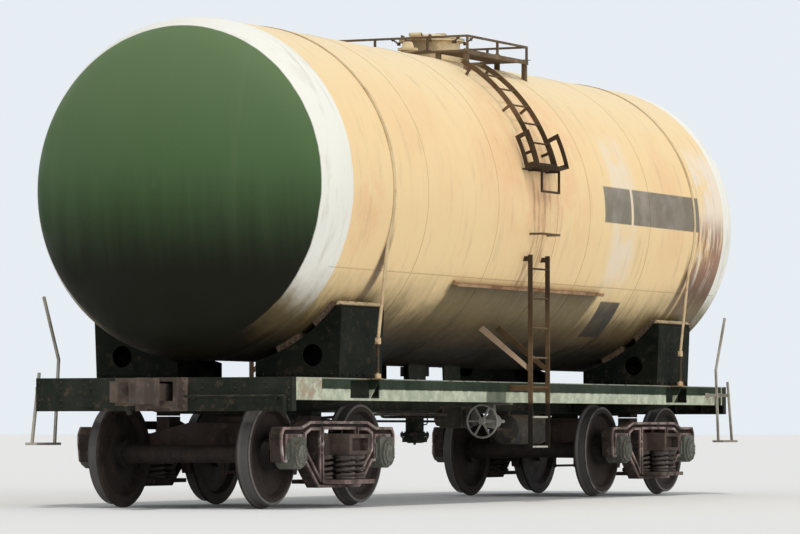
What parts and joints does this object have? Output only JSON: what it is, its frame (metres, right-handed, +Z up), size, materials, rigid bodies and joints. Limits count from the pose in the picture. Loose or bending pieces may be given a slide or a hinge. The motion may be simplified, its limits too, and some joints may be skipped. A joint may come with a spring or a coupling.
{
  "type": "railway tank car",
  "caption": "Railway tank car: long round tank with dished ends on a steel underframe, two swivelling bogies with free-running wheelsets, claw couplers, ladders and a top platform.",
  "frame": {"origin": "ground line of the wheel flanges under the middle of the car", "axes": "X along the car, Y across it, Z up; the running surface of the rail is 28 mm above the origin"},
  "size_m": [12.358, 3.53, 4.8848],
  "materials": {
    "tank_paint": "weathered cream paint",
    "end_paint": "weathered dark green paint with a white edge ring",
    "ladder_steel": "rust-brown, worn paint",
    "frame_paint": "dark dusty paint",
    "sill_paint": "faded grey-green paint",
    "timber": "dark soaked timber",
    "brake_paint": "dark dusty paint",
    "cast_steel": "rough casting, brown dust",
    "bogie_steel": "rough casting with brown-pink brake dust",
    "spring_steel": "dusty steel",
    "box_steel": "light grey-green paint, dusty",
    "wheel_steel": "brown rolled steel, bright tread"
  },
  "bodies": {
    "wagon": {"tank_barrel": "tank_paint", "tank_head_a": "end_paint", "tank_head_b": "end_paint", "manhole_neck": "tank_paint", "relief_valves": "tank_paint", "platform_deck": "ladder_steel", "platform_rails": "ladder_steel", "ladder_near": "ladder_steel", "ladder_far": "ladder_steel", "drip_shelves": "tank_paint", "tank_straps": "tank_paint", "saddle_a": "frame_paint", "saddle_b": "frame_paint", "saddle_timbers": "timber", "centre_feet": "frame_paint", "centre_sill_webs": "frame_paint", "centre_sill_cover": "frame_paint", "bolster_a": "frame_paint", "bolster_b": "frame_paint", "side_sills": "sill_paint", "cross_members": "frame_paint", "end_beam_a": "frame_paint", "end_beam_b": "frame_paint", "striker_a": "cast_steel", "striker_b": "cast_steel", "yoke_a": "cast_steel", "yoke_b": "cast_steel", "uncoupling_levers": "frame_paint", "bottom_outlet": "frame_paint", "brake_cylinder": "brake_paint", "air_reservoir": "brake_paint", "air_distributor": "brake_paint", "parking_brake": "brake_paint", "corner_steps": "ladder_steel", "train_pipe": "brake_paint"},
    "lid": {"manhole_lid": "tank_paint"},
    "coupler_a": {"coupler_a": "cast_steel", "coupler_lock_a": "cast_steel"},
    "coupler_b": {"coupler_b": "cast_steel", "coupler_lock_b": "cast_steel"},
    "bogie_a": {"bogie_bolster_a": "bogie_steel", "side_frames_a": "bogie_steel", "springs_a": "spring_steel", "friction_wedges_a": "bogie_steel", "axleboxes_a": "box_steel", "brake_beams_a": "bogie_steel"},
    "bogie_b": {"bogie_bolster_b": "bogie_steel", "side_frames_b": "bogie_steel", "springs_b": "spring_steel", "friction_wedges_b": "bogie_steel", "axleboxes_b": "box_steel", "brake_beams_b": "bogie_steel"},
    "wheelset_1": {"wheels_1": "wheel_steel", "axle_1": "wheel_steel"},
    "wheelset_2": {"wheels_2": "wheel_steel", "axle_2": "wheel_steel"},
    "wheelset_3": {"wheels_3": "wheel_steel", "axle_3": "wheel_steel"},
    "wheelset_4": {"wheels_4": "wheel_steel", "axle_4": "wheel_steel"}
  },
  "joints": [
    {"name": "lid_hinge", "type": "hinge", "parent": "wagon", "child": "lid", "pos_m": [0.025, 0, 4.844], "axis": [0, -1, 0], "range_deg": [0, 105]},
    {"name": "bogie_a_swivel", "type": "hinge", "parent": "wagon", "child": "bogie_a", "pos_m": [-3.9, 0, 0.829], "axis": [0, 0, 1], "range_deg": [-4, 4]},
    {"name": "bogie_b_swivel", "type": "hinge", "parent": "wagon", "child": "bogie_b", "pos_m": [3.9, 0, 0.829], "axis": [0, 0, 1], "range_deg": [-4, 4]},
    {"name": "coupler_a_swing", "type": "hinge", "parent": "wagon", "child": "coupler_a", "pos_m": [-4.95, 0, 1.078], "axis": [0, 0, 1], "range_deg": [-6, 6]},
    {"name": "coupler_b_swing", "type": "hinge", "parent": "wagon", "child": "coupler_b", "pos_m": [4.95, 0, 1.078], "axis": [0, 0, 1], "range_deg": [-6, 6]},
    {"name": "wheelset_1_spin", "type": "hinge", "parent": "bogie_a", "child": "wheelset_1", "pos_m": [-4.825, 0, 0.5065], "axis": [0, 1, 0], "continuous": true},
    {"name": "wheelset_2_spin", "type": "hinge", "parent": "bogie_a", "child": "wheelset_2", "pos_m": [-2.975, 0, 0.5065], "axis": [0, 1, 0], "continuous": true},
    {"name": "wheelset_3_spin", "type": "hinge", "parent": "bogie_b", "child": "wheelset_3", "pos_m": [2.975, 0, 0.5065], "axis": [0, 1, 0], "continuous": true},
    {"name": "wheelset_4_spin", "type": "hinge", "parent": "bogie_b", "child": "wheelset_4", "pos_m": [4.825, 0, 0.5065], "axis": [0, 1, 0], "continuous": true}
  ]
}
